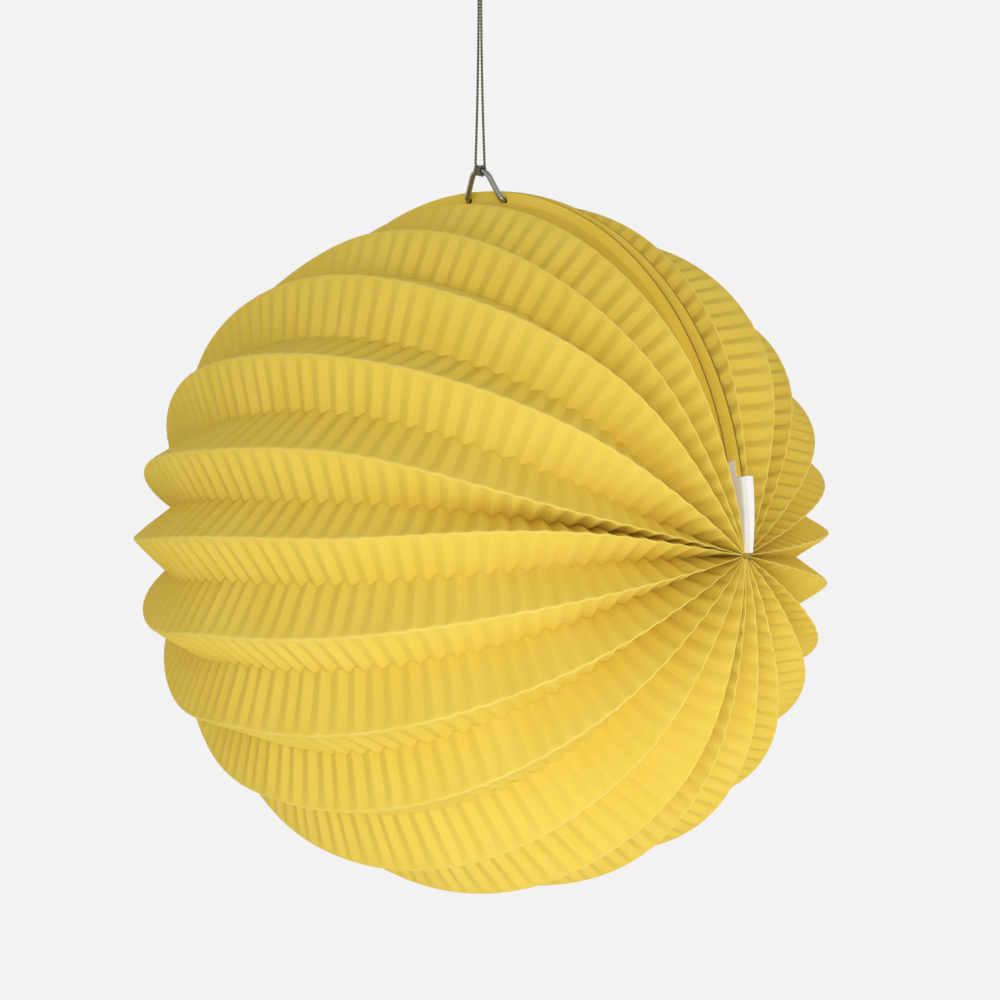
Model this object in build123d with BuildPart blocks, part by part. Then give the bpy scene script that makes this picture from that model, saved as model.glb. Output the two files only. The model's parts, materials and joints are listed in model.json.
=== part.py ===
"""A round paper lantern that opens like a fan.

One long strip of crimped paper is folded into pleats, with a card end board glued to each end.
Opened, the pleats go all the way round a level axis, from the front board to the back board.
The two boards stand face to face at the top, a wire bail hooks them together, and a thread
holds the bail.

Millimetres. X is the axis that the pleats turn about, -Y is the front and Z is up. The origin
is the top of the thread's hanging loop. Angles of pleats and boards are counted from straight
up, over the front, in degrees.
"""

from math import asin, atan, cos, degrees, radians, sin, tan
import os

from build123d import *

os.makedirs("parts", exist_ok=True)

# Ball
BALL_RADIUS = 100.0
BALL_CENTRE_Z = -175.0
# The ball's centre of mass, not its axis, hangs below the thread, which holds the bail a
# little to the left of the ball's middle.
BALL_CENTRE_X = 2.0
BALL_CENTRE_Y = -1.94
PLEAT_DEPTH = 11.0
PAPER = 0.25
PLEAT_GAP = 0.3
POLE_CLEARANCE = 5.0
# The pleats are opened by hand, so their ridges stand at uneven angles.
RIDGES = [8, 23, 38, 55, 72, 87, 103, 120, 137, 155, 173, 188]
RIDGES += [205, 219, 234, 247, 260, 273, 286, 300, 315, 331, 348]

# End boards: each is a half ring, and the back one reaches a little further
FRONT_BOARD_ANGLE = -3.2
BACK_BOARD_ANGLE = 355.8
FRONT_BOARD_HALF_LENGTH = 93.0
FRONT_BOARD_HEIGHT = 102.0
BACK_BOARD_HALF_LENGTH = 97.0
BACK_BOARD_HEIGHT = 102.2
BOARD_WIDTH = 13.0
BOARD_THICKNESS = 0.6
BOARD_SEAM = 0.05
BOARD_FOOT = 10.0
GLUE_RADIUS = 92.0
END_LEAF_CLEARANCE = 20.0

# Bail
WIRE_RADIUS = 0.8
BAIL_HALF_WIDTH = 6.6
BAIL_FOOT_RADIUS = 99.3
BAIL_HOLE_RADIUS = 1.15
BAIL_TIP_HEIGHT = 112.45
BAIL_TIP_BACK = 0.96
BAIL_TIP_BEND = 3.7
BAIL_FOOT_BEND = 1.5
BAIL_FOOT_REACH = 6.0
BAIL_CLEAR = 0.15

# Pole tapes and stitches. Near and far are latitudes.
TAPE_THICKNESS = 0.2
TAPE_LEG = 4.7
TAPE_FLAP = 6.5
TAPE_LIFT = 0.5
TAPE_CLEAR = 0.05
TAPE_NEAR = 3.5
TAPE_FAR = 15.0
STITCH_RADIUS = 1.2
STITCH_ROUND = 0.6
STITCH_START = 90.0
STITCH_END = 100.8

# Thread
THREAD_RADIUS = 0.4
HITCH_BORE = 1.0
HITCH_RADIUS = 1.8
HITCH_LENGTH = 1.6
STRAND_SPREAD = 1.7
STRAND_BESIDE = 0.45
STRAND_MEET = -38.5
STRAND_TOP = -12.4
KNOT_RADIUS = 1.5
KNOT_CENTRE = -10.8
LOOP_RADIUS = 4.2

CENTRE = Vector(BALL_CENTRE_X, BALL_CENTRE_Y, BALL_CENTRE_Z)
VALLEY_RADIUS = BALL_RADIUS - PLEAT_DEPTH


def swing_direction(angle):
    """The way a point of a half plane moves as its angle grows."""
    return Vector(0, -cos(radians(angle)), -sin(radians(angle)))


def half_plane(angle):
    """The plane of a half circle at that angle: X along the axis, Y out from it."""
    return Plane(origin=CENTRE, x_dir=(1, 0, 0), z_dir=swing_direction(angle))


def section_plane(angle, latitude):
    """A plane across a pleat, with X along its swing and Y out from the ball's centre.

    The latitude is the angle from the +X pole.
    """
    across = swing_direction(angle)
    up = Vector(0, -sin(radians(angle)), cos(radians(angle)))
    out = Vector(cos(radians(latitude)), 0, 0) + up * sin(radians(latitude))
    return Plane(origin=CENTRE, x_dir=across, z_dir=across.cross(out))


def latitudes(clearance, count):
    """Evenly spaced latitudes from pole to pole, kept that far from the axis."""
    first = degrees(asin(clearance / BALL_RADIUS))
    return [first + (180 - 2 * first) * i / (count - 1) for i in range(count)]


def on_ball(angle, height, along=0.0):
    """A point above the ball's centre, that far out in a half plane."""
    return CENTRE + half_plane(angle).y_dir * height + Vector(along, 0, 0)


def pleat_outline(latitude, before, after):
    """A pleat's section: a thin roof with a ridge and two valley edges."""
    wide = VALLEY_RADIUS * sin(radians(latitude))
    left = -wide * sin(radians(before)) + PLEAT_GAP / 2
    right = wide * sin(radians(after)) - PLEAT_GAP / 2
    slope = atan((right - left) / 2 / PLEAT_DEPTH)
    side = PAPER / cos(slope)
    drop = PAPER / sin(slope)
    return [
        (left, VALLEY_RADIUS),
        (0, BALL_RADIUS),
        (right, VALLEY_RADIUS),
        (right - side, VALLEY_RADIUS),
        (0, BALL_RADIUS - drop),
        (left + side, VALLEY_RADIUS),
    ]


def finish(part, name):
    part.label = name
    export_step(part, f"parts/{name}.step")


# Each pleat runs from one valley edge over its ridge to the next valley edge.
ends = [FRONT_BOARD_ANGLE, *RIDGES, BACK_BOARD_ANGLE]
valleys = [(a + b) / 2 for a, b in zip(ends[:-1], ends[1:])]

for number, ridge in enumerate(RIDGES):
    before = ridge - valleys[number]
    after = valleys[number + 1] - ridge
    with BuildPart() as pleat:
        for latitude in latitudes(POLE_CLEARANCE, 15):
            with BuildSketch(section_plane(ridge, latitude)):
                Polygon(*pleat_outline(latitude, before, after), align=None)
        loft()
    finish(pleat.part, f"pleat_{number + 1:02d}")

# The strip's two end leaves are glued to the end boards, just below their rims.
for name, board_angle, valley in [
    ("end_leaf_front", FRONT_BOARD_ANGLE, valleys[0]),
    ("end_leaf_back", BACK_BOARD_ANGLE, valleys[-1]),
]:
    side = 1 if valley > board_angle else -1
    face = BOARD_SEAM + BOARD_THICKNESS + 0.05
    with BuildPart() as leaf:
        for latitude in latitudes(END_LEAF_CLEARANCE, 13):
            wide = VALLEY_RADIUS * sin(radians(latitude))
            edge = wide * sin(radians(abs(valley - board_angle))) - PLEAT_GAP / 2
            outline = [
                (side * edge, VALLEY_RADIUS),
                (side * face, GLUE_RADIUS),
                (side * face, GLUE_RADIUS - 2 * PAPER),
                (side * (edge - PAPER), VALLEY_RADIUS),
            ]
            with BuildSketch(section_plane(board_angle, latitude)):
                Polygon(*outline, align=None)
        loft()
    finish(leaf.part, name)

# The end boards are half rings of card, cut off short of the axis, with two holes for the bail.
bail_left = -BALL_CENTRE_X - BAIL_HALF_WIDTH
bail_right = -BALL_CENTRE_X + BAIL_HALF_WIDTH
for name, angle, half_length, height, side in [
    ("front_board", FRONT_BOARD_ANGLE, FRONT_BOARD_HALF_LENGTH, FRONT_BOARD_HEIGHT, 1),
    ("back_board", BACK_BOARD_ANGLE, BACK_BOARD_HALF_LENGTH, BACK_BOARD_HEIGHT, -1),
]:
    hole = BAIL_FOOT_RADIUS * cos(radians(angle - FRONT_BOARD_ANGLE))
    with BuildPart() as board:
        with BuildSketch(half_plane(angle).offset(side * BOARD_SEAM)):
            Ellipse(half_length, height)
            Ellipse(half_length - BOARD_WIDTH, height - BOARD_WIDTH, mode=Mode.SUBTRACT)
            with Locations((0, BOARD_FOOT)):
                Rectangle(
                    3 * half_length,
                    2 * height,
                    align=(Align.CENTER, Align.MAX),
                    mode=Mode.SUBTRACT,
                )
            with Locations((bail_left, hole), (bail_right, hole)):
                Circle(BAIL_HOLE_RADIUS, mode=Mode.SUBTRACT)
        extrude(amount=side * BOARD_THICKNESS)
    finish(board.part, name)

# The bail's legs stand just in front of the front board, and its feet go back through both.
forward = swing_direction(FRONT_BOARD_ANGLE)
ahead = forward * (BOARD_SEAM + BOARD_THICKNESS + BAIL_CLEAR + WIRE_RADIUS)
left_knee = on_ball(FRONT_BOARD_ANGLE, BAIL_FOOT_RADIUS, bail_left) + ahead
right_knee = on_ball(FRONT_BOARD_ANGLE, BAIL_FOOT_RADIUS, bail_right) + ahead
tip = Vector(0, BALL_CENTRE_Y + BAIL_TIP_BACK, BALL_CENTRE_Z + BAIL_TIP_HEIGHT)
with BuildPart() as bail:
    with BuildLine() as wire_path:
        FilletPolyline(
            left_knee - forward * BAIL_FOOT_REACH,
            left_knee,
            tip,
            right_knee,
            right_knee - forward * BAIL_FOOT_REACH,
            radius=[BAIL_FOOT_BEND, BAIL_TIP_BEND, BAIL_FOOT_BEND],
        )
    with BuildSketch(wire_path.line ^ 0):
        Circle(WIRE_RADIUS)
    sweep()
left_leg = (left_knee - tip).normalized()
right_leg = (right_knee - tip).normalized()
down = (left_leg + right_leg).normalized()
across = (right_leg - left_leg).normalized()
half = radians(down.get_angle(right_leg))
bail_top = tip + down * BAIL_TIP_BEND * (1 / sin(half) - 1)
print("top of the bail's wire", bail_top)
finish(bail.part, "wire_bail")

# A paper tape at each pole folds over the back board's rim, on to the pleats behind it.
for name, first, turn in [
    ("pole_tape_right", TAPE_NEAR, 1),
    ("pole_tape_left", 180 - TAPE_NEAR, -1),
]:
    rim = BALL_RADIUS + TAPE_LIFT
    inner = TAPE_CLEAR - BOARD_SEAM
    outline = [
        (inner, rim - TAPE_LEG),
        (inner, rim),
        (-TAPE_FLAP, rim),
        (-TAPE_FLAP, rim + TAPE_THICKNESS),
        (inner + TAPE_THICKNESS, rim + TAPE_THICKNESS),
        (inner + TAPE_THICKNESS, rim - TAPE_LEG),
    ]
    with BuildPart() as tape:
        with BuildSketch(section_plane(BACK_BOARD_ANGLE, first)):
            Polygon(*outline, align=None)
        revolve(
            axis=Axis(CENTRE, swing_direction(BACK_BOARD_ANGLE) * turn),
            revolution_arc=TAPE_FAR - TAPE_NEAR,
        )
    finish(tape.part, name)

# A stitch at each pole binds the ends of all the leaves, on the axis that they turn about.
for name, side in [("pole_stitch_right", 1), ("pole_stitch_left", -1)]:
    start = CENTRE + Vector(side * STITCH_START, 0, 0)
    with BuildPart() as stitch:
        with BuildSketch(Plane(origin=start, z_dir=(side, 0, 0))):
            Circle(STITCH_RADIUS)
        extrude(amount=STITCH_END - STITCH_START)
        fillet(stitch.faces().sort_by(Axis.X)[-1 if side > 0 else 0].edges(), STITCH_ROUND)
    finish(stitch.part, name)

# The thread is hitched round the top of the bail and goes up double to a knot and a loop.
with BuildPart() as hitch:
    with BuildSketch(Plane(origin=bail_top, z_dir=across)):
        Circle(HITCH_RADIUS)
        Circle(HITCH_BORE, mode=Mode.SUBTRACT)
    extrude(amount=HITCH_LENGTH / 2, both=True)
finish(hitch.part, "thread_hitch")

for name, side in [("thread_left", -1), ("thread_right", 1)]:
    foot = bail_top + Vector(side * STRAND_SPREAD, 0, HITCH_RADIUS + 0.1)
    meet = Vector(side * STRAND_BESIDE, 0, STRAND_MEET)
    top = Vector(side * STRAND_BESIDE, 0, STRAND_TOP)
    bend = (meet - foot).get_angle(top - meet)
    reach = 0.45 * min((meet - foot).length, (top - meet).length)
    radius = reach / tan(radians(bend / 2))
    print(name, "bend radius", round(radius, 1))
    with BuildPart() as strand:
        with BuildLine() as strand_path:
            FilletPolyline(foot, meet, top, radius=radius)
        with BuildSketch(strand_path.line ^ 0):
            Circle(THREAD_RADIUS)
        sweep()
    finish(strand.part, name)

with BuildPart() as knot:
    with Locations((0, 0, KNOT_CENTRE)):
        Sphere(KNOT_RADIUS)
finish(knot.part, "thread_knot")

with BuildPart() as loop:
    with Locations(Location((0, 0, -LOOP_RADIUS), (90, 0, 0))):
        Torus(LOOP_RADIUS + THREAD_RADIUS, THREAD_RADIUS)
finish(loop.part, "hanging_loop")
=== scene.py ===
"""The looks of a round pleated paper lantern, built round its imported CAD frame.

Metres, with the frame's axes: X is the axis that the pleats turn about, -Y is the front and Z is
up. A pleat or board stands at an angle about that axis, counted from straight up over the front.
A place along a pleat is a latitude, which goes from 0 at the -X pole to 180 degrees at the +X pole.
"""

import json
import math

import bpy
import numpy as np
from mathutils import Matrix, Vector


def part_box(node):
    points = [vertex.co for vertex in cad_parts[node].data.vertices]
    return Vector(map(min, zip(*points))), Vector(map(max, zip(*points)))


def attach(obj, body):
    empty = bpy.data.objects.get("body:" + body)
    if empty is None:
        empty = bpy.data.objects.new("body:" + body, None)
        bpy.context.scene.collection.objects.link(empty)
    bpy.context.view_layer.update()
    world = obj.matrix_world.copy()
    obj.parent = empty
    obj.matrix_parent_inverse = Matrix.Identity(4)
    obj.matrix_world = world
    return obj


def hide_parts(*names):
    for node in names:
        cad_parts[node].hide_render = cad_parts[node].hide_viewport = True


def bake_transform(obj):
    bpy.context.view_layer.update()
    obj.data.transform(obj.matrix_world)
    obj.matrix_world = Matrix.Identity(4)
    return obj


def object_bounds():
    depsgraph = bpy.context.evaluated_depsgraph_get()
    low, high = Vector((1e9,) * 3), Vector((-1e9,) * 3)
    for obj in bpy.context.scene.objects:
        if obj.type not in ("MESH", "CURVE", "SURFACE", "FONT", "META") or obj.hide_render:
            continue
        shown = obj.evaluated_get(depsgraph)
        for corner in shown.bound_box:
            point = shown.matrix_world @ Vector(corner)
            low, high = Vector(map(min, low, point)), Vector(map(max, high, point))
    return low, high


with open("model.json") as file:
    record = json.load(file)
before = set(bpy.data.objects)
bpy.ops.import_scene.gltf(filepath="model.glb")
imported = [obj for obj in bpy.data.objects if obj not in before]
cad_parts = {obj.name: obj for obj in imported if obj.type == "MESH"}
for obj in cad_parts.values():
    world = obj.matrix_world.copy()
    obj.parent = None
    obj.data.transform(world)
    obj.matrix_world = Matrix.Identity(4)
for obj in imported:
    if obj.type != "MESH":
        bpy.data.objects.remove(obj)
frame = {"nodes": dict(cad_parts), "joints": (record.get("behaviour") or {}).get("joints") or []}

cad_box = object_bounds()

MM = 0.001
AXIS = next(np.array(joint["pos_m"]) for joint in frame["joints"] if joint["name"] == "fold")

# Ball
BALL_RADIUS = 100 * MM
VALLEY_RADIUS = 89 * MM
FRONT_BOARD_ANGLE = -3.2
BACK_BOARD_ANGLE = 355.8
RIDGES = [8, 23, 38, 55, 72, 87, 103, 120, 137, 155, 173, 188]
RIDGES += [205, 219, 234, 247, 260, 273, 286, 300, 315, 331, 348]
# How far each ridge strays from its angle where it runs into the +X pole, in degrees
STRAY = [3, 1, -4, 0, 5, -6, -2, -1, -1, 1, 4, -5]
STRAY += [-6, -6, -2, -3, 0, 0, 0, 0, 3, -1, 5]
# The same for the half towards the -X pole
LEFT_STRAY = [1, 3.5, 0.5, -1.5, -1, 1, 4, 5, 4, 2, 1, 0]
LEFT_STRAY += [0, 0, 0, 0, 0, 0, 0, 0, 0, 0, 0]
# The upper and lower pleats lean a little towards the +X pole, and their ends are pressed in there
SIDEWAYS = 2.4 * MM
POLE_SQUASH = 2.7 * MM
SQUASH_START = math.radians(140)
SQUASH_END = math.radians(168)
# The first pleats are pressed in on the side towards the -X pole: how deep, where and how widely, in degrees
DENT = 4.0 * MM
DENT_ANGLE = 16
DENT_LATITUDE = 60
DENT_WIDTHS = (16, 24)
MIDDLE_PLEAT = 11

# Paper
PAPER = 0.2 * MM
RIBS = 50
RIB_DEPTH = 0.78 * MM
RIB_RISE = 0.2
# Where the columns of points stand in each rib, closer together at its crest and its groove
RIB_COLUMNS = [0.0, 0.05, 0.14, 0.25, 0.36, 0.45, 0.5, 0.55, 0.64, 0.75, 0.86, 0.95]
CREST_SHARPNESS = 0.985
# The ribs' uneven widths, in degrees, and heights, and how far from a pole they die away
RIB_JITTER = 0.3
RIB_HEIGHTS = (0.85, 1.15)
RIBS_FADE = math.radians(9)
# How far ridges and valleys wander from their lines: in degrees, and away from the axis
RIDGE_WANDER = (0.45, 0.35 * MM)
VALLEY_WANDER = (0.6, 0.8 * MM)
RIDGE_STANDS_OUT = 0.25 * MM
FOLD_SHARE = 0.05
LEAF_ROWS = [1.0, 0.9, 0.78, 0.64, 0.5, 0.37, 0.25, 0.15, 0.09]
FOLD_ROWS = [0.05, 0.036, 0.02, 0.0]
POLE_GAP = 0.6

# Camera
CAMERA_AZIMUTH = math.radians(40)
CAMERA_ELEVATION = math.radians(2.5)
CAMERA_DISTANCE = 2.8
CAMERA_SENSOR = 36 * MM
PICTURE_WIDTH = 288.2 * MM
CENTRE_IN_PICTURE = (-5.5 * MM, -13.0 * MM)


# Camera

def direction(azimuth, elevation):
    """The way from the object to a camera."""
    level = math.cos(elevation)
    return Vector((math.sin(azimuth) * level, -math.cos(azimuth) * level, math.sin(elevation)))


def aim(thing, back):
    """Turns an object so that its -Z axis looks against that direction."""
    right = Vector((0, 0, 1)).cross(back).normalized()
    up = back.cross(right)
    thing.rotation_euler = Matrix((right, up, back)).transposed().to_euler()
    return right, up


def make_camera():
    data = bpy.data.cameras.new("camera")
    camera = bpy.data.objects.new("camera", data)
    bpy.context.scene.collection.objects.link(camera)
    back = direction(CAMERA_AZIMUTH, CAMERA_ELEVATION)
    right, up = aim(camera, back)
    across, above = CENTRE_IN_PICTURE
    looked_at = Vector(AXIS) - right * across - up * above
    camera.location = looked_at + back * CAMERA_DISTANCE
    data.sensor_width = CAMERA_SENSOR / MM
    data.lens = CAMERA_SENSOR / MM * CAMERA_DISTANCE / PICTURE_WIDTH
    data.clip_end = 100
    bpy.context.scene.camera = camera


make_camera()


# Materials

class Shader:
    """A material's nodes, with short ways to add and join them."""

    def __init__(self, name):
        self.material = bpy.data.materials.new(name)
        self.material.use_nodes = True
        self.tree = self.material.node_tree
        self.principled = self.tree.nodes["Principled BSDF"]

    def add(self, kind, inputs=None, **settings):
        node = self.tree.nodes.new("ShaderNode" + kind)
        for name, value in settings.items():
            setattr(node, name, value)
        for name, value in (inputs or {}).items():
            self.put(value, node.inputs[name])
        return node

    def put(self, value, socket):
        """Joins an output to a socket, or sets the socket to a plain value."""
        if isinstance(value, bpy.types.NodeSocket):
            self.tree.links.new(value, socket)
        else:
            socket.default_value = value

    def set(self, **values):
        for name, value in values.items():
            self.put(value, self.principled.inputs[name.replace("_", " ")])

    def noise(self, place, scale, detail=2.0, roughness=0.5):
        inputs = {"Vector": place, "Scale": scale, "Detail": detail, "Roughness": roughness}
        return self.add("TexNoise", inputs).outputs["Fac"]

    def spread(self, value, low, high, to_low=0.0, to_high=1.0):
        inputs = {"Value": value, "From Min": low, "From Max": high, "To Min": to_low, "To Max": to_high}
        return self.add("MapRange", inputs).outputs["Result"]

    def mix(self, factor, first, second):
        node = self.add("Mix", data_type="RGBA")
        self.put(factor, node.inputs["Factor"])
        self.put(first, node.inputs["A"])
        self.put(second, node.inputs["B"])
        return node.outputs["Result"]

    def mapped(self, place, scale):
        return self.add("Mapping", {"Vector": place, "Scale": scale}).outputs["Vector"]

    def bump(self, height, strength, distance):
        inputs = {"Height": height, "Strength": strength, "Distance": distance}
        return self.add("Bump", inputs).outputs["Normal"]


def paper_material():
    """Dyed crepe-like paper: fine fibres, faint blotches, folds painted paler, partly as wear and partly as
    a painted highlight where the ridges catch the light, and some light through it.
    """
    shader = Shader("yellow_paper")
    place = shader.add("Attribute", attribute_name="strip_place").outputs["Vector"]
    wear_and_highlight = shader.add("Attribute", attribute_name="fold_wear_and_highlight").outputs["Fac"]
    blotches = shader.spread(shader.noise(place, 45.0, 3.0), 0.35, 0.65)
    colour = shader.mix(blotches, (0.875, 0.665, 0.082, 1), (0.905, 0.702, 0.104, 1))
    fibres = shader.noise(shader.mapped(place, (1.0, 0.25, 1.0)), 2600.0, 3.0, 0.6)
    colour = shader.mix(shader.spread(fibres, 0.3, 0.75, 0.0, 0.35), colour, (0.90, 0.72, 0.13, 1))
    # Paler along each ridge fold: partly wear, partly a painted highlight where the ridges catch the light.
    worn_and_lit = shader.add("Math", {0: wear_and_highlight, 1: 0.55}, operation="MULTIPLY").outputs["Value"]
    colour = shader.mix(worn_and_lit, colour, (0.93, 0.80, 0.26, 1))
    shader.set(Base_Color=colour, Roughness=0.82, Normal=shader.bump(fibres, 0.25, 0.00015))
    shader.principled.inputs["Specular IOR Level"].default_value = 0.3
    through = shader.add("BsdfTranslucent", {"Color": (0.90, 0.62, 0.03, 1)})
    blend = shader.add("MixShader", {0: 0.22})
    shader.put(shader.principled.outputs["BSDF"], blend.inputs[1])
    shader.put(through.outputs["BSDF"], blend.inputs[2])
    shader.put(blend.outputs["Shader"], shader.tree.nodes["Material Output"].inputs["Surface"])
    return shader.material


def card_material():
    """Dyed card: smoother than the paper, with long fibres and scuffed patches; its cut edges are painted
    dark brown as painted shade for the crevice between the two boards.
    """
    shader = Shader("yellow_card")
    place = shader.add("TexCoord").outputs["Object"]
    patches = shader.spread(shader.noise(place, 60.0, 4.0), 0.35, 0.7)
    colour = shader.mix(patches, (0.83, 0.61, 0.065, 1), (0.87, 0.66, 0.085, 1))
    fibres = shader.noise(shader.mapped(place, (0.2, 1.0, 1.0)), 1800.0, 4.0, 0.65)
    colour = shader.mix(shader.spread(fibres, 0.35, 0.8, 0.0, 0.4), colour, (0.90, 0.74, 0.18, 1))
    # Painted shade: faces that don't face along Y, the cut edges, are painted dark brown to stand in for the
    # shadowed crevice between the boards.
    facing = shader.add("SeparateXYZ", {"Vector": shader.add("TexCoord").outputs["Normal"]}).outputs["Y"]
    flat = shader.add("Math", {0: facing}, operation="ABSOLUTE").outputs["Value"]
    colour = shader.mix(shader.spread(flat, 0.3, 0.7), (0.22, 0.13, 0.015, 1), colour)
    shader.set(Base_Color=colour, Roughness=0.75, Normal=shader.bump(fibres, 0.3, 0.0002))
    shader.principled.inputs["Specular IOR Level"].default_value = 0.35
    return shader.material


def tape_material():
    """White gummed paper tape with a slightly crinkled face."""
    shader = Shader("white_tape")
    place = shader.add("TexCoord").outputs["Object"]
    crinkles = shader.noise(place, 500.0, 3.0, 0.6)
    soil = shader.spread(shader.noise(place, 120.0, 2.0), 0.4, 0.8)
    colour = shader.mix(soil, (0.86, 0.84, 0.84, 1), (0.78, 0.76, 0.74, 1))
    shader.set(Base_Color=colour, Roughness=0.6, Normal=shader.bump(crinkles, 0.35, 0.0002))
    return shader.material


def steel_material():
    """Drawn steel wire: grey, shiny, with fine lines and a little dullness."""
    shader = Shader("steel_wire")
    place = shader.add("TexCoord").outputs["Object"]
    lines = shader.noise(place, 2500.0, 2.0, 0.6)
    shader.set(Base_Color=(0.34, 0.33, 0.32, 1), Metallic=1.0)
    shader.set(Roughness=shader.spread(lines, 0.3, 0.7, 0.16, 0.34))
    shader.set(Normal=shader.bump(lines, 0.08, 0.0001))
    return shader.material


def thread_material(name, dark, light):
    """Twisted cotton: dull, fuzzy, with darker hollows."""
    shader = Shader(name)
    place = shader.add("TexCoord").outputs["Object"]
    fuzz = shader.noise(place, 6000.0, 3.0, 0.7)
    shader.set(Base_Color=shader.mix(shader.spread(fuzz, 0.3, 0.7), dark, light), Roughness=0.85)
    shader.set(Normal=shader.bump(fuzz, 0.5, 0.0001))
    shader.principled.inputs["Sheen Weight"].default_value = 0.3
    return shader.material


PAPER_LOOK = paper_material()
CARD_LOOK = card_material()
TAPE_LOOK = tape_material()
STEEL_LOOK = steel_material()
DARK_THREAD_LOOK = thread_material("dark_thread", (0.050, 0.048, 0.026, 1), (0.19, 0.18, 0.11, 1))
STITCH_LOOK = thread_material("stitch_thread", (0.10, 0.07, 0.03, 1), (0.22, 0.16, 0.07, 1))


# Meshes

# Two directions that no path here runs along, from which the sides of tubes and threads are worked out
TUBE_SIDEWAYS = (0.31, 0.23, 0.92)
THREAD_SIDEWAYS = (0.31, 0.83, 0.46)


def add_mesh(name, vertices, faces, material, crease=None):
    """A smooth shaded object, with sharp edges where its faces meet at more than the crease angle."""
    mesh = bpy.data.meshes.new(name)
    mesh.from_pydata(vertices.tolist(), [], faces)
    mesh.update()
    mesh.materials.append(material)
    mesh.shade_smooth()
    if crease:
        mesh.set_sharp_from_angle(angle=math.radians(crease))
    piece = bpy.data.objects.new(name, mesh)
    bpy.context.scene.collection.objects.link(piece)
    return piece


def grid_faces(rows, columns, first=0):
    """The quads of a grid whose points are numbered row by row."""
    corner = first + np.arange(rows - 1)[:, None] * columns + np.arange(columns - 1)[None, :]
    corner = corner.ravel()
    return np.stack([corner, corner + 1, corner + columns + 1, corner + columns], 1)


def rim_loop(rows, columns):
    """The numbers of a grid's outer points, in order round it."""
    top = np.arange(columns)
    right = np.arange(1, rows) * columns + columns - 1
    bottom = (rows - 1) * columns + np.arange(columns - 2, -1, -1)
    left = np.arange(rows - 2, 0, -1) * columns
    return np.concatenate([top, right, bottom, left])


def surface_normals(grid):
    """The unit normal at each point of a grid."""
    down = np.gradient(grid, axis=0)
    along = np.gradient(grid, axis=1)
    normals = np.cross(down, along)
    return normals / np.linalg.norm(normals, axis=2, keepdims=True)


def sheet_mesh(name, grid, thickness, material):
    """A closed thin sheet with that middle surface."""
    rows, columns = grid.shape[:2]
    half = surface_normals(grid) * thickness / 2
    one = (grid + half).reshape(-1, 3)
    other = (grid - half).reshape(-1, 3)
    count = rows * columns
    rim = rim_loop(rows, columns)
    after = np.roll(rim, -1)
    faces_one = grid_faces(rows, columns)[:, ::-1]
    faces_other = grid_faces(rows, columns, count)
    faces_rim = np.stack([after, after + count, rim + count, rim], 1)
    vertices = np.concatenate([one, other])
    faces = np.concatenate([faces_one, faces_other, faces_rim])
    return add_mesh(name, vertices, faces.tolist(), material, crease=50)


def keep_numbers(piece, name, values):
    """Stores one number for each point of a sheet's middle surface, for both its sides."""
    both = np.concatenate([values.ravel(), values.ravel()]).astype(np.float32)
    piece.data.attributes.new(name, "FLOAT", "POINT").data.foreach_set("value", both)


def keep_places(piece, name, places):
    """Stores one place for each point of a sheet's middle surface, for both its sides."""
    both = np.concatenate([places.reshape(-1, 3)] * 2).astype(np.float32)
    piece.data.attributes.new(name, "FLOAT_VECTOR", "POINT").data.foreach_set("vector", both.ravel())


def headings(path, closed):
    """The unit direction of a path at each of its points."""
    if closed:
        ahead = np.roll(path, -1, 0) - np.roll(path, 1, 0)
    else:
        ahead = np.gradient(path, axis=0)
    return ahead / np.linalg.norm(ahead, axis=1, keepdims=True)


def tube_mesh(name, path, radius, material, sides, closed=False):
    """A round tube along points, which are close together."""
    ahead = headings(path, closed)
    side = np.cross(ahead[0], TUBE_SIDEWAYS)
    rings = []
    turn = np.linspace(0, 2 * math.pi, sides, endpoint=False)
    for point, tangent in zip(path, ahead):
        side = side - tangent * (side @ tangent)
        side /= np.linalg.norm(side)
        other = np.cross(tangent, side)
        rings.append(point + radius * (np.cos(turn)[:, None] * side + np.sin(turn)[:, None] * other))
    vertices = np.concatenate(rings)
    faces = []
    count = len(path)
    for ring in range(count if closed else count - 1):
        for step in range(sides):
            a = ring * sides + step
            b = ring * sides + (step + 1) % sides
            shift = sides if ring < count - 1 else -(count - 1) * sides
            faces.append([a, b, b + shift, a + shift])
    if not closed:
        faces.append(list(range(sides - 1, -1, -1)))
        faces.append(list(range((count - 1) * sides, count * sides)))
    return add_mesh(name, vertices, faces, material, crease=60)


def joined(name, pieces):
    """One piece from several."""
    with bpy.context.temp_override(
        active_object=pieces[0], selected_editable_objects=pieces, selected_objects=pieces
    ):
        bpy.ops.object.join()
    pieces[0].name = name
    return pieces[0]


# Thread: two plies twisted together

THREAD_WIDTH = 0.8 * MM
PLY_SHARE = 0.52
TWIST = 1.9 * MM
TWIST_STEPS = 10
PLY_SIDES = 7


def evened(path, step, closed=False):
    """Points along a path, evenly spaced."""
    if closed:
        path = np.vstack([path, path[:1]])
    reach = np.concatenate([[0], np.cumsum(np.linalg.norm(np.diff(path, axis=0), axis=1))])
    count = max(int(round(reach[-1] / step)), 3)
    wanted = np.linspace(0, reach[-1], count + 1)
    points = np.stack([np.interp(wanted, reach, path[:, axis]) for axis in range(3)], 1)
    return points[:-1] if closed else points


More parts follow.
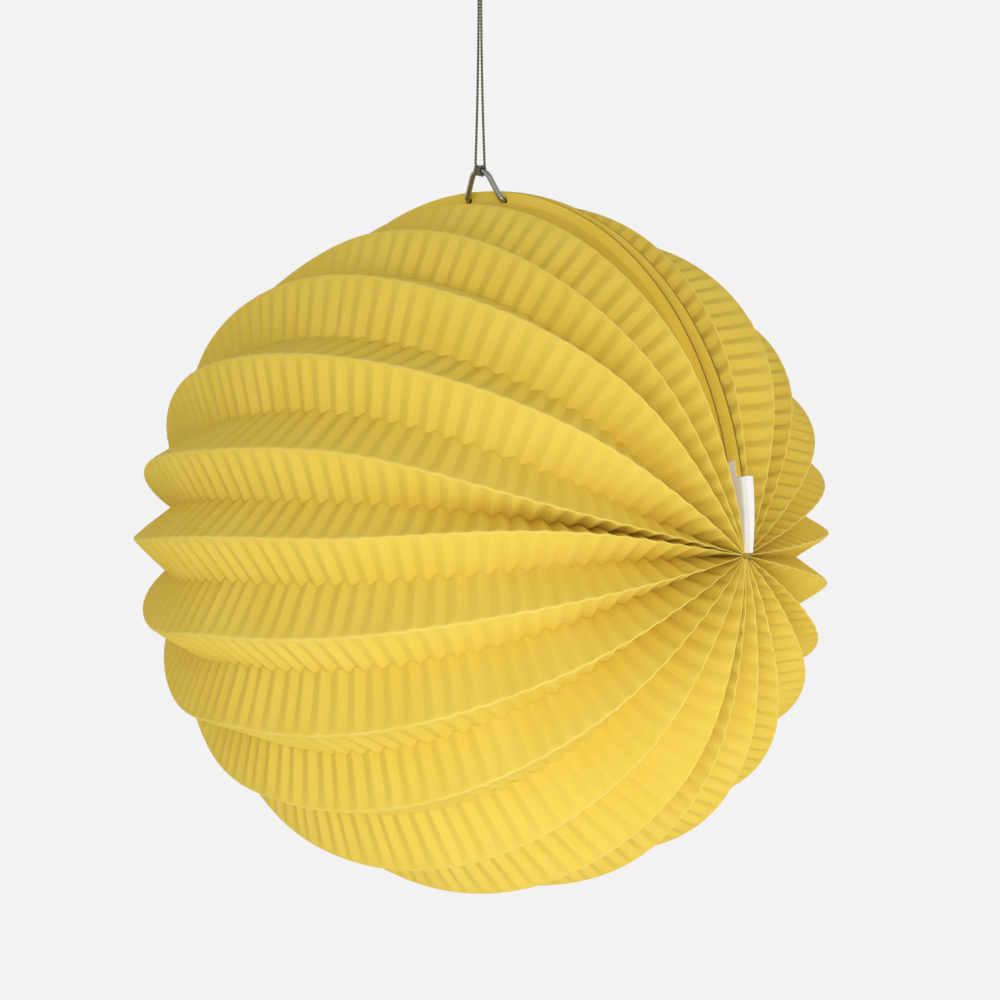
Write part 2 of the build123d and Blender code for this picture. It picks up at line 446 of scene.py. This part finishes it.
def thread_mesh(name, path, material, width=THREAD_WIDTH, closed=False):
    """A two-ply thread that follows a path."""
    path = evened(path, TWIST / TWIST_STEPS, closed)
    turns = len(path) / TWIST_STEPS
    if closed:
        turns = max(round(turns), 1)
    phase = 2 * math.pi * turns * np.arange(len(path)) / len(path)
    ahead = headings(path, closed)
    side = np.cross(ahead, THREAD_SIDEWAYS)
    side /= np.linalg.norm(side, axis=1, keepdims=True)
    other = np.cross(ahead, side)
    ply = width * PLY_SHARE / 2
    offset = width / 2 - ply
    plies = []
    for start in (0, math.pi):
        turn = phase + start
        centres = path + offset * (np.cos(turn)[:, None] * side + np.sin(turn)[:, None] * other)
        plies.append(tube_mesh(name, centres, ply, material, PLY_SIDES, closed))
    return joined(name, plies)


# The hanging thread. Its two strands' routes come from here, and the loop, knot and hitch join them.

BAIL_TOP = np.array([0, 0.066, -67.182]) * MM
HITCH_RADIUS = 1.8 * MM
HITCH_GAP = 0.1 * MM
STRAND_SPREAD = 1.7 * MM
STRAND_BESIDE = 0.45 * MM
STRAND_MEET = -38.5 * MM
STRAND_TOP = -12.4 * MM
WIRE_RADIUS = 0.8 * MM
HITCH_TURNS = 2.5
HITCH_HALF_WIDTH = 1.0 * MM
# The hitch's outer turn, from the bail's top, in mm
BIGHT = [(-1.3, -0.2, 1.5), (-0.7, -1.35, 1.2), (0.1, -1.75, 0.2), (0.6, -1.4, -0.9)]
BIGHT += [(0.9, -0.2, -1.6), (0.8, 0.9, -1.0), (1.1, 1.2, 0.4), (1.3, 0.3, 1.7)]
# One tail of the knot, from the knot's centre, in mm
TAIL = [(0, 0, 0), (0.9, -0.6, -0.6), (1.9, -0.5, -2.0), (2.2, -0.2, -3.4)]
LOOP_NARROWS = 0.22


def strand_route(side):
    """A strand's points, from the hitch up to the knot."""
    return [
        (BAIL_TOP[0] + side * STRAND_SPREAD, BAIL_TOP[1], BAIL_TOP[2] + HITCH_RADIUS + HITCH_GAP),
        (side * STRAND_BESIDE, 0, STRAND_MEET),
        (side * STRAND_BESIDE, 0, STRAND_TOP),
    ]


def spline_points(route, steps=64):
    """Points along the smooth line that a route's points control."""
    curve = bpy.data.curves.new("route", "CURVE")
    curve.dimensions = "3D"
    spline = curve.splines.new("NURBS")
    spline.points.add(len(route) - 1)
    for point, place in zip(spline.points, route):
        point.co = (*place, 1)
    spline.order_u = 3
    spline.use_endpoint_u = True
    curve.resolution_u = steps
    holder = bpy.data.objects.new("route", curve)
    line = bpy.data.meshes.new_from_object(holder)
    points = np.array([vertex.co for vertex in line.vertices])
    bpy.data.objects.remove(holder)
    bpy.data.curves.remove(curve)
    bpy.data.meshes.remove(line)
    return points


def make_strands():
    strands = []
    for name, side in [("thread_strand_left", -1), ("thread_strand_right", 1)]:
        route = strand_route(side)
        line = spline_points(route)
        strand = thread_mesh(name, line, DARK_THREAD_LOOK)
        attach(strand, "thread")
        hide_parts(name.replace("strand_", ""))
        strands.append((strand, route, line))
    return strands


def make_hitch():
    """The thread comes down, goes round the bail's top and up again, with a turn over itself."""
    wrap = WIRE_RADIUS + THREAD_WIDTH / 2
    around = np.linspace(-math.pi / 2, math.pi / 2 + 2 * math.pi * HITCH_TURNS, 90)
    along = np.linspace(-HITCH_HALF_WIDTH, HITCH_HALF_WIDTH, len(around))
    coil = np.stack([along, -np.cos(around) * wrap, -np.sin(around) * wrap], 1)
    left = np.array(strand_route(-1)[0]) - BAIL_TOP
    right = np.array(strand_route(1)[0]) - BAIL_TOP
    path = BAIL_TOP + np.vstack([left, coil, right])
    wraps = thread_mesh("hitch_wraps", path, DARK_THREAD_LOOK)
    over = spline_points(BAIL_TOP + np.array(BIGHT) * MM, 8)
    bight = thread_mesh("hitch_bight", over, DARK_THREAD_LOOK)
    hitch = joined("thread_hitch_wraps", [wraps, bight])
    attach(hitch, "thread")
    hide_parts("thread_hitch")
    return hitch


def trefoil(count):
    """The closed line of an overhand knot: width, depth and height at each point."""
    turn = np.linspace(0, 2 * math.pi, count, endpoint=False)
    width = np.sin(turn) + 1.6 * np.sin(2 * turn)
    depth = 0.8 * np.sin(3 * turn)
    height = np.cos(turn) - 1.6 * np.cos(2 * turn)
    return np.stack([width, depth, height], 1)


def make_knot():
    """An overhand knot where the loop's two ends meet, with two short tails."""
    low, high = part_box("thread_knot")
    centre = np.array((low + high) / 2)
    size = 0.8 * (high.x - low.x) / 2 / 3
    pieces = [thread_mesh("knot_body", centre + trefoil(80) * size, DARK_THREAD_LOOK, closed=True)]
    for side in (-1, 1):
        tail = np.array(TAIL) * MM * (side, 1, 1)
        pieces.append(thread_mesh("knot_tail", spline_points(centre + tail, 8), DARK_THREAD_LOOK))
    knot = joined("thread_overhand_knot", pieces)
    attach(knot, "hanger")
    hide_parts("thread_knot")
    return knot


def make_loop():
    """The loop that hangs on a hook: a drop shape that closes at the knot."""
    low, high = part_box("hanging_loop")
    wide = (high.x - low.x) / 2 - THREAD_WIDTH / 2
    tall = (high.z - low.z) / 2 - THREAD_WIDTH / 2
    middle = (high.z + low.z) / 2
    turn = np.linspace(0, 2 * math.pi, 120, endpoint=False)
    narrow = 1 - LOOP_NARROWS * (1 - np.cos(turn)) / 2
    path = np.stack([wide * np.sin(turn) * narrow, 0 * turn, middle + tall * np.cos(turn)], 1)
    loop = thread_mesh("thread_hanging_loop", path, DARK_THREAD_LOOK, closed=True)
    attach(loop, "hanger")
    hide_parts("hanging_loop")
    return loop


strands = make_strands()
hitch = make_hitch()
knot = make_knot()
loop = make_loop()


# Places on the ball

def outward(angle):
    """The way from the axis to a point."""
    return np.stack([0 * angle, -np.sin(angle), np.cos(angle)], -1)


def swing(angle):
    """The way a point moves as its angle grows."""
    return np.stack([0 * angle, -np.cos(angle), -np.sin(angle)], -1)


def on_ball(angle, latitude, radius):
    """A point at that angle and latitude, in radians, that far from the ball's centre."""
    level = np.sin(latitude)[..., None] * outward(angle)
    level[..., 0] -= np.cos(latitude)
    return AXIS + np.asarray(radius)[..., None] * level


def smooth(value):
    """Eases from 0 to 1."""
    value = np.clip(value, 0, 1)
    return value * value * (3 - 2 * value)


def wander(seed, latitude, waves=(1.3, 2.2, 3.7)):
    """A slow wave along a pleat, between about -1 and 1, that dies away at both poles."""
    draw = np.random.RandomState(seed)
    total = 0 * latitude
    for wave in waves:
        total += draw.uniform(0.3, 1) * np.sin(wave * latitude + draw.uniform(0, 2 * math.pi))
    return total / len(waves) * 1.5 * np.sin(latitude) ** 0.5


ANGLES = [FRONT_BOARD_ANGLE, *RIDGES, BACK_BOARD_ANGLE]
STRAYS = [0, *STRAY, 0]
LEFT_STRAYS = [0, *LEFT_STRAY, 0]
STRAY_START = math.radians(100)
STRAY_END = math.radians(160)
LEFT_STRAY_START = math.radians(80)
LEFT_STRAY_END = math.radians(45)
# Sets the grain of one pleat apart from the next
GRAIN_STEP = 0.37
RIB_STEPS = RIB_COLUMNS
RIB_PLACES = np.append(np.add.outer(np.arange(RIBS), RIB_STEPS).ravel(), RIBS)
COLUMNS = len(RIB_PLACES)


def uneven_latitudes():
    """The latitude of each column: the ribs are not all quite as wide."""
    draw = np.random.RandomState(7)
    edges = np.linspace(POLE_GAP, 180 - POLE_GAP, RIBS + 1)
    edges[1:-1] += draw.uniform(-RIB_JITTER, RIB_JITTER, RIBS - 1)
    return np.radians(np.interp(RIB_PLACES, np.arange(RIBS + 1), edges))


LATITUDES = uneven_latitudes()


def plain_angle(number):
    """The angle of a ridge, from 1, or of a board, 0 or 24, along all its latitudes, in degrees."""
    right = smooth((LATITUDES - STRAY_START) / (STRAY_END - STRAY_START))
    left = smooth((LATITUDES - LEFT_STRAY_START) / (LEFT_STRAY_END - LEFT_STRAY_START))
    return ANGLES[number] + STRAYS[number] * right + LEFT_STRAYS[number] * left


def sideways(angle):
    """What the pleats' lean towards the +X pole, and the squash at that pole, add to their radius."""
    lean = -SIDEWAYS * np.sin(2 * LATITUDES) * np.abs(np.cos(np.radians(angle)))
    squash = POLE_SQUASH * smooth((LATITUDES - SQUASH_START) / (SQUASH_END - SQUASH_START))
    off_angle = (angle - DENT_ANGLE) / DENT_WIDTHS[0]
    off_latitude = (np.degrees(LATITUDES) - DENT_LATITUDE) / DENT_WIDTHS[1]
    dent = DENT * np.exp(-(off_angle**2) - off_latitude**2)
    return lean - squash - dent


def ridge_line(number):
    """The angle and radius of a pleat's ridge at each latitude."""
    turned, risen = RIDGE_WANDER
    angle = plain_angle(number) + turned * wander(number, LATITUDES)
    radius = BALL_RADIUS + RIDGE_STANDS_OUT + risen * wander(100 + number, LATITUDES)
    return angle, radius + sideways(angle)


def valley_line(number):
    """The valley between one ridge and the next: 0 follows the front board, 23 the last ridge."""
    turned, risen = VALLEY_WANDER
    middle = (plain_angle(number) + plain_angle(number + 1)) / 2
    angle = middle + turned * wander(200 + number, LATITUDES)
    radius = VALLEY_RADIUS + risen * wander(300 + number, LATITUDES)
    return angle, radius + sideways(angle)


def rib_wave():
    """The crimps along a pleat, which all the leaves share so that they nest when they close."""
    draw = np.random.RandomState(8)
    height = np.interp(RIB_PLACES, np.arange(RIBS + 1), draw.uniform(*RIB_HEIGHTS, RIBS + 1))
    wave = np.arcsin(CREST_SHARPNESS * -np.cos(2 * math.pi * RIB_PLACES)) / math.asin(CREST_SHARPNESS)
    return wave * height * smooth(np.sin(LATITUDES) / math.sin(RIBS_FADE))


RIB_WAVE = rib_wave()


def crimped(line, share):
    """The shift of a row of points by its ribs: none at a fold's ridge, all of it at a valley."""
    angle = np.radians(line)
    risen = RIB_DEPTH * (1 - math.exp(-share / RIB_RISE))
    return (risen * RIB_WAVE)[:, None] * swing(angle)


def strip_places(number, shares):
    """Where each point lies on the flat strip, for the paper's grain."""
    depth = BALL_RADIUS - VALLEY_RADIUS
    across = np.broadcast_to(shares[:, None] * depth, (len(shares), COLUMNS))
    along = np.broadcast_to(LATITUDES[None, :] * BALL_RADIUS, across.shape)
    apart = np.full(across.shape, GRAIN_STEP * number)
    return np.stack([across, along, apart], -1)


def carry(piece):
    """Bakes the piece's placing into its points."""
    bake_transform(piece)


# Pleats

# The part of a leaf beside its ridge fold that is painted paler, partly as wear and partly as a painted
# highlight where the ridge catches the light, and how often that comes and goes along the fold
WORN_AND_LIT_SHARE = 0.022
WEAR_AND_HIGHLIGHT_PATCHES = 37


def pleat_grid(number):
    """A pleat's middle surface: rows from one valley over the ridge to the next valley."""
    ridge_angle, ridge_radius = ridge_line(number)
    ridge = on_ball(np.radians(ridge_angle), LATITUDES, ridge_radius)
    leaves = []
    for side in (-1, 1):
        angle, radius = valley_line(number - 1 if side < 0 else number)
        valley = on_ball(np.radians(angle), LATITUDES, radius)
        leaf = []
        for share in LEAF_ROWS + FOLD_ROWS[:1]:
            row = ridge + share * (valley - ridge) + crimped(ridge_angle, share)
            leaf.append((share * side, row))
        leaves.append(leaf)
    before, after = leaves
    fold = []
    first, last = before[-1][1], after[-1][1]
    for share in [-share for share in FOLD_ROWS[1:]] + FOLD_ROWS[-2:0:-1]:
        part = (share / FOLD_SHARE + 1) / 2
        row = (1 - part) ** 2 * first + 2 * part * (1 - part) * ridge + part**2 * last
        fold.append((share, row))
    together = before + fold + after[::-1]
    shares = np.array([share for share, row in together])
    return shares, np.stack([row for share, row in together])


def make_pleat(number):
    name = f"pleat_{number:02d}"
    shares, grid = pleat_grid(number)
    pleat = sheet_mesh("paper_" + name, grid, PAPER, PAPER_LOOK)
    keep_places(pleat, "strip_place", strip_places(number, shares))
    # Paler along the ridge folds: partly wear, partly a painted highlight where the ridges catch the light.
    patchy = 0.75 + 0.25 * np.sin(WEAR_AND_HIGHLIGHT_PATCHES * LATITUDES + number)
    wear_and_highlight = np.exp(-((shares / WORN_AND_LIT_SHARE) ** 2))[:, None] * patchy
    keep_numbers(pleat, "fold_wear_and_highlight", wear_and_highlight)
    if number <= MIDDLE_PLEAT:
        carry(pleat)
    else:
        carry(pleat)
    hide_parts(name)


for number in range(1, len(RIDGES) + 1):
    make_pleat(number)


# End leaves, glued to the boards a little below their rims

BOARD_SIZES = {"front": (93.0 * MM, 102.0 * MM), "back": (97.0 * MM, 102.2 * MM)}
BOARD_OUTER_FACE = 0.65 * MM
RIM_SHOWN = 3.2 * MM
GLUED_FLAP = 3.0 * MM
LEAF_OFF_BOARD = 0.03 * MM
# How far from each pole, in degrees, an end leaf stops
END_LEAF_GAP = 8.0
END_LEAF_ROWS = [1.0, 0.88, 0.74, 0.6, 0.46, 0.33, 0.21, 0.1, 0.0]


def board_radius(which, inset):
    """How far a board's edge is from the ball's centre, at each latitude."""
    half_length, height = (size - inset for size in BOARD_SIZES[which])
    return 1 / np.sqrt((np.cos(LATITUDES) / half_length) ** 2 + (np.sin(LATITUDES) / height) ** 2)


def make_end_leaf(which, angle, valley, side):
    """The last leaf runs from its valley to the board's outer face, and lies on it for a short flap."""
    valley_angle, valley_radius = valley_line(valley)
    bottom = on_ball(np.radians(valley_angle), LATITUDES, valley_radius)
    board = np.radians(np.full(COLUMNS, float(angle)))
    face = side * (BOARD_OUTER_FACE + PAPER / 2 + LEAF_OFF_BOARD) * swing(board)
    glued = on_ball(board, LATITUDES, board_radius(which, RIM_SHOWN + GLUED_FLAP)) + face
    top = on_ball(board, LATITUDES, board_radius(which, RIM_SHOWN)) + face
    rows = []
    for share in END_LEAF_ROWS:
        rows.append(glued + share * (bottom - glued) + crimped(valley_angle, share))
    rows.append(top)
    grid = np.stack(rows)
    shares = np.array(END_LEAF_ROWS + [-0.2])
    inside = np.degrees(LATITUDES)
    kept = (inside > END_LEAF_GAP) & (inside < 180 - END_LEAF_GAP)
    places = strip_places(30 + valley, shares)[:, kept]
    leaf = sheet_mesh("paper_end_leaf_" + which, grid[:, kept], PAPER, PAPER_LOOK)
    keep_places(leaf, "strip_place", places)
    keep_numbers(leaf, "fold_wear_and_highlight", np.zeros(places.shape[:2]))
    if which == "front":
        carry(leaf)
    else:
        carry(leaf)
    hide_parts("end_leaf_" + which)


make_end_leaf("front", FRONT_BOARD_ANGLE, 0, 1)
make_end_leaf("back", BACK_BOARD_ANGLE, len(RIDGES), -1)


# Boards and bail keep their CAD shapes

def paint(node, material):
    mesh = frame["nodes"][node].data
    mesh.materials.clear()
    mesh.materials.append(material)


paint("front_board", CARD_LOOK)
paint("back_board", CARD_LOOK)
paint("wire_bail", STEEL_LOOK)


# Pole tapes: one strip on the back board's front face, folded over its rim on to the pleats. It runs
# from TAPE_START to TAPE_END, in degrees from its pole.

TAPE_RIM = 97.4 * MM
TAPE_THICKNESS = 0.16 * MM
TAPE_FLAP = 3.1 * MM
TAPE_START = 0.5
TAPE_END = 13.2
UNDER_STRIP_END = 16.3
TAPE_OVER_PLEAT = 1.45 * MM
TAPE_RISES_OVER = 0.8 * MM
TAPE_TIP = 0.45
# How far below the rim each row of the front leg lies; the under strip starts at the second step
TAPE_LEG = [4.0 * MM, 3.0 * MM, 1.7 * MM, 1.6 * MM, 1.2 * MM, 0.6 * MM, 0.1 * MM]
UNDER_STRIP = 1.65 * MM
TAPE_OFF_FACE = 0.08 * MM
TAPE_COLUMNS = 25
FLAP_ROWS = 12


def make_tape(name, pole):
    """Rows go from the front leg's lower edge over the rim to the flap's far edge."""
    board = math.radians(BACK_BOARD_ANGLE)
    rim = TAPE_RIM if pole > 0 else TAPE_RIM + POLE_SQUASH
    along = np.linspace(0, 1, TAPE_COLUMNS)
    rows = []
    for leg in TAPE_LEG:
        end = UNDER_STRIP_END if leg > UNDER_STRIP else TAPE_END
        rows.append((end, rim - leg, TAPE_OFF_FACE))
    for across in np.linspace(0, TAPE_FLAP, FLAP_ROWS):
        lift = TAPE_OVER_PLEAT * smooth(across / TAPE_RISES_OVER)
        rows.append((TAPE_END, rim + lift, -across))
    grid = []
    for end, radius, across in rows:
        latitude = np.radians(TAPE_START + along * (end - TAPE_START))
        turned = latitude if pole < 0 else math.pi - latitude
        angle = np.full(TAPE_COLUMNS, board)
        narrow = TAPE_TIP + (1 - TAPE_TIP) * along if across < 0 else 1 + 0 * along
        grid.append(on_ball(angle, turned, radius + 0 * along) + (across * narrow)[:, None] * swing(angle))
    tape = sheet_mesh("folded_" + name, np.stack(grid), TAPE_THICKNESS, TAPE_LOOK)
    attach(tape, "back_half")
    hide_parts(name)


make_tape("pole_tape_right", 1)
make_tape("pole_tape_left", -1)


# Pole stitches: a few turns of thread round the bundle of leaf ends, drawn up in a small knot

STITCH_WIDTH = 0.5 * MM
STITCH_TURNS = 4
# The coil's radius and its depth below the CAD stitch's end, at its inner end and then its outer end
COIL_RADII = (0.75 * MM, 0.40 * MM)
COIL_DEPTHS = (6.0 * MM, 4.8 * MM)
# The little knot lies beside the pole, clear of the tape's end
KNOT_BESIDE = (0.8 * MM, -1.0 * MM)
KNOT_DEPTH = 2.5 * MM
KNOT_SIZE = 0.16 * MM


def make_stitch(name, side):
    low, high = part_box(name)
    outer = high.x if side > 0 else low.x
    turn = np.linspace(0, 2 * math.pi * STITCH_TURNS, 80)
    share = turn / turn[-1]
    radius = COIL_RADII[0] + (COIL_RADII[1] - COIL_RADII[0]) * share
    depth = COIL_DEPTHS[0] + (COIL_DEPTHS[1] - COIL_DEPTHS[0]) * share
    across = AXIS[1] + radius * np.cos(turn)
    height = AXIS[2] + radius * np.sin(turn)
    coil = np.stack([outer - side * depth, across, height], 1)
    wraps = thread_mesh("stitch_wraps", coil, STITCH_LOOK, STITCH_WIDTH)
    place = (outer - side * KNOT_DEPTH, AXIS[1] + KNOT_BESIDE[0], AXIS[2] + KNOT_BESIDE[1])
    knot_line = place + trefoil(60)[:, (1, 0, 2)] * KNOT_SIZE
    little_knot = thread_mesh("stitch_knot", knot_line, STITCH_LOOK, STITCH_WIDTH, closed=True)
    stitch = joined("thread_" + name, [wraps, little_knot])
    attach(stitch, "front_half")
    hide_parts(name)


make_stitch("pole_stitch_right", 1)
make_stitch("pole_stitch_left", -1)


# Studio

BACKDROP = (0.896, 0.888, 0.896)
LIGHT_AROUND = 0.97
LIGHT_OVERHEAD = 0.52
# The height of a direction, between 0 and 1, from which the overhead light counts
OVERHEAD_FROM = 0.9
FLOOR_DROP = 1.2
FLOOR_RADIUS = 6.0
LAMP_WIDTH = 1.0


def make_floor():
    height = cad_box[0][2] - FLOOR_DROP
    turn = np.linspace(0, 2 * math.pi, 96, endpoint=False)
    rim = np.stack([FLOOR_RADIUS * np.cos(turn), FLOOR_RADIUS * np.sin(turn), 0 * turn + height], 1)
    shader = Shader("floor")
    shader.set(Base_Color=(0.86, 0.855, 0.86, 1), Roughness=0.9)
    floor = add_mesh("floor", rim, [list(range(len(rim)))], shader.material)


def make_world():
    """A white surround, dimmer overhead; behind the object it shows as the pale backdrop."""
    world = bpy.data.worlds.new("studio")
    bpy.context.scene.world = world
    world.use_nodes = True
    nodes, links = world.node_tree.nodes, world.node_tree.links
    background = nodes["Background"]
    way = nodes.new("ShaderNodeTexCoord")
    split = nodes.new("ShaderNodeSeparateXYZ")
    ramp = nodes.new("ShaderNodeMapRange")
    links.new(way.outputs["Generated"], split.inputs["Vector"])
    links.new(split.outputs["Z"], ramp.inputs["Value"])
    ramp.inputs["From Min"].default_value = 0.0
    ramp.inputs["From Max"].default_value = OVERHEAD_FROM
    ramp.inputs["To Min"].default_value = LIGHT_AROUND
    ramp.inputs["To Max"].default_value = LIGHT_OVERHEAD
    lit = nodes.new("ShaderNodeCombineColor")
    for channel in ("Red", "Green", "Blue"):
        links.new(ramp.outputs["Result"], lit.inputs[channel])
    seen = nodes.new("ShaderNodeLightPath")
    choice = nodes.new("ShaderNodeMix")
    choice.data_type = "RGBA"
    links.new(seen.outputs["Is Camera Ray"], choice.inputs["Factor"])
    links.new(lit.outputs["Color"], choice.inputs["A"])
    choice.inputs["B"].default_value = (*BACKDROP, 1)
    links.new(choice.outputs["Result"], background.inputs["Color"])


def area_light(name, azimuth, elevation, distance, power):
    """A soft round light, aimed at the ball's centre and out of the camera's sight."""
    data = bpy.data.lights.new(name, "AREA")
    data.shape = "DISK"
    data.size = LAMP_WIDTH
    data.energy = power
    light = bpy.data.objects.new(name, data)
    bpy.context.scene.collection.objects.link(light)
    back = direction(math.radians(azimuth), math.radians(elevation))
    light.location = Vector(AXIS) + back * distance
    aim(light, back)
    light.visible_camera = False


make_floor()
make_world()
area_light("key", azimuth=56, elevation=-5, distance=2.4, power=17.5)
area_light("bounce", azimuth=40, elevation=-55, distance=0.7, power=1.9)
area_light("side", azimuth=112, elevation=8, distance=2.4, power=3.5)
bpy.context.scene.view_settings.view_transform = "Standard"
